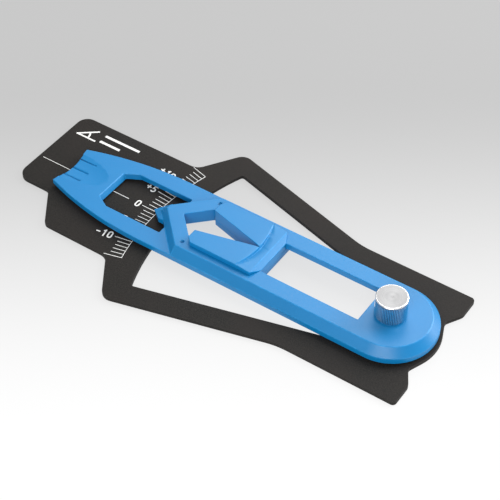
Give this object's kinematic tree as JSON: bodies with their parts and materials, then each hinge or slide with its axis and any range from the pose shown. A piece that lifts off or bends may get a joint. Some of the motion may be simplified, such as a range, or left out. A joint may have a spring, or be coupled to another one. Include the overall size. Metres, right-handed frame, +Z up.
{
  "type": "rotor blade pitch gauge",
  "caption": "Flat pitch gauge for model helicopter rotor blades: a swinging arm with a V jaw and a sliding jaw reads degrees on a black frame, clamped by a thumb nut.",
  "frame": {"origin": "on the swing axis, in the plane of the frame's underside", "axes": "+X along the frame's centre line from the pivot towards the scale, +Z up out of the frame's printed face along the swing axis, +Y to the left of +X seen from above"},
  "size_m": [0.1756, 0.0878, 0.017],
  "materials": {
    "frame_black": "fine-grained satin black sheet",
    "print_white": "matt white screen print",
    "arm_blue": "satin moulded blue",
    "screw_steel": "plain bright steel",
    "washer_black": "matt black",
    "nut_aluminium": "turned and polished, knurled grip"
  },
  "bodies": {
    "frame": {"scale_frame": "frame_black", "degree_scale": "print_white", "centre_line": "print_white", "label_plus_10_glyph_1": "print_white", "label_plus_10_glyph_2": "print_white", "label_plus_10_glyph_3": "print_white", "label_plus_5_glyph_1": "print_white", "label_plus_5_glyph_2": "print_white", "label_0_glyph_1": "print_white", "label_minus_5_glyph_1": "print_white", "label_minus_5_glyph_2": "print_white", "label_minus_10_glyph_1": "print_white", "label_minus_10_glyph_2": "print_white", "label_minus_10_glyph_3": "print_white", "angle_mark": "print_white", "mark_bar_long": "print_white", "mark_bar_short": "print_white", "pivot_stud": "screw_steel", "spacer_washer": "washer_black"},
    "arm": {"swing_arm": "arm_blue"},
    "jaw": {"sliding_jaw": "arm_blue", "jaw_keeper": "arm_blue", "keeper_screw_rear": "screw_steel", "keeper_screw_left": "screw_steel", "keeper_screw_right": "screw_steel"},
    "clamp_washer": {"nut_washer": "screw_steel"},
    "clamp_nut": {"thumb_nut": "nut_aluminium"}
  },
  "joints": [
    {"name": "arm_swing", "type": "hinge", "parent": "frame", "child": "arm", "pos_m": [0, 0, 0], "axis": [0, 0, 1], "range_deg": [-15, 15]},
    {"name": "jaw_slide", "type": "slide", "parent": "arm", "child": "jaw", "axis": [-1, 0, 0], "range_m": [0, 0.0395]},
    {"name": "nut_rise", "type": "slide", "parent": "frame", "child": "clamp_washer", "axis": [0, 0, 1], "range_m": [0, 0.0007]},
    {"name": "nut_turn", "type": "hinge", "parent": "clamp_washer", "child": "clamp_nut", "pos_m": [0, 0, 0.012], "axis": [0, 0, 1], "range_deg": [0, 360]}
  ],
  "couplings": [
    {"joint": "nut_turn", "follows": "nut_rise", "rad_per_m": 8975}
  ]
}
